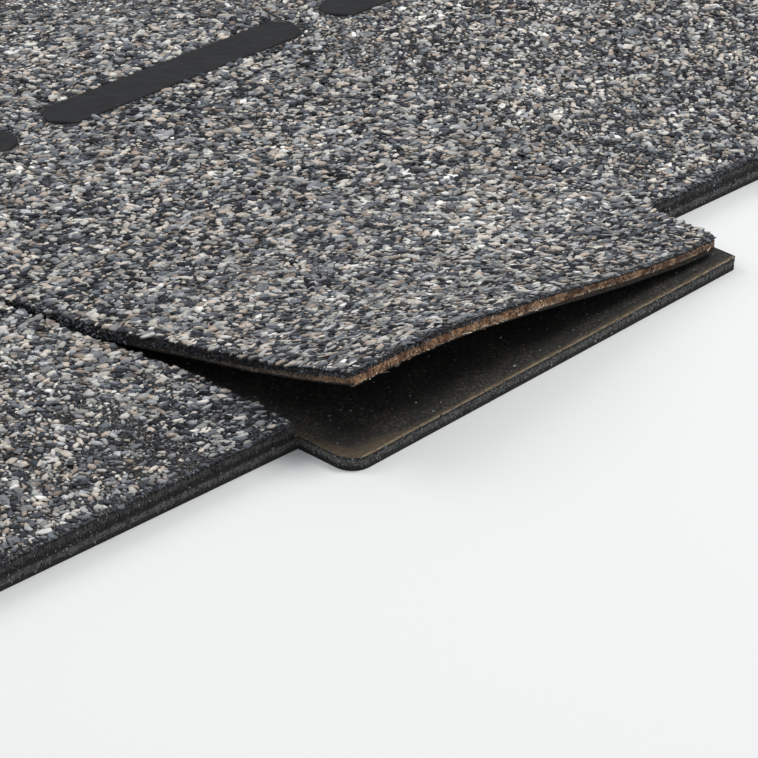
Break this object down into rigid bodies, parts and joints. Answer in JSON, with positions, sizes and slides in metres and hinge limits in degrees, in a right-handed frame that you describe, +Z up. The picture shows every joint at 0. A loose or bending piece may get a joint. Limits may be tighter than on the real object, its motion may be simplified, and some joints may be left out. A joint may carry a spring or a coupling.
{
  "type": "laminated asphalt shingle",
  "caption": "Two-layer asphalt strip shingle with stepped, slotted tabs, mineral granules and one curled tab, for covering pitched roofs.",
  "frame": {"origin": "middle of the rectangle that the shingle covers on the floor", "axes": "+X along the strip, +Y from the butts up to the headlap's upper edge, +Z up out of the granule face"},
  "size_m": [1, 0.3368, 0.0227],
  "materials": {
    "granules": "matt mineral granules of charcoal, slate grey, pale grey and tan, pressed into black asphalt",
    "backer": "bare weathered asphalt, nearly black, with a brown rim",
    "sealant": "black asphalt sealant, slightly glossy"
  },
  "bodies": {
    "root": {"top_sheet": "granules", "backer_sheet": "backer", "sealant_dashes": "sealant"}
  },
  "joints": []
}
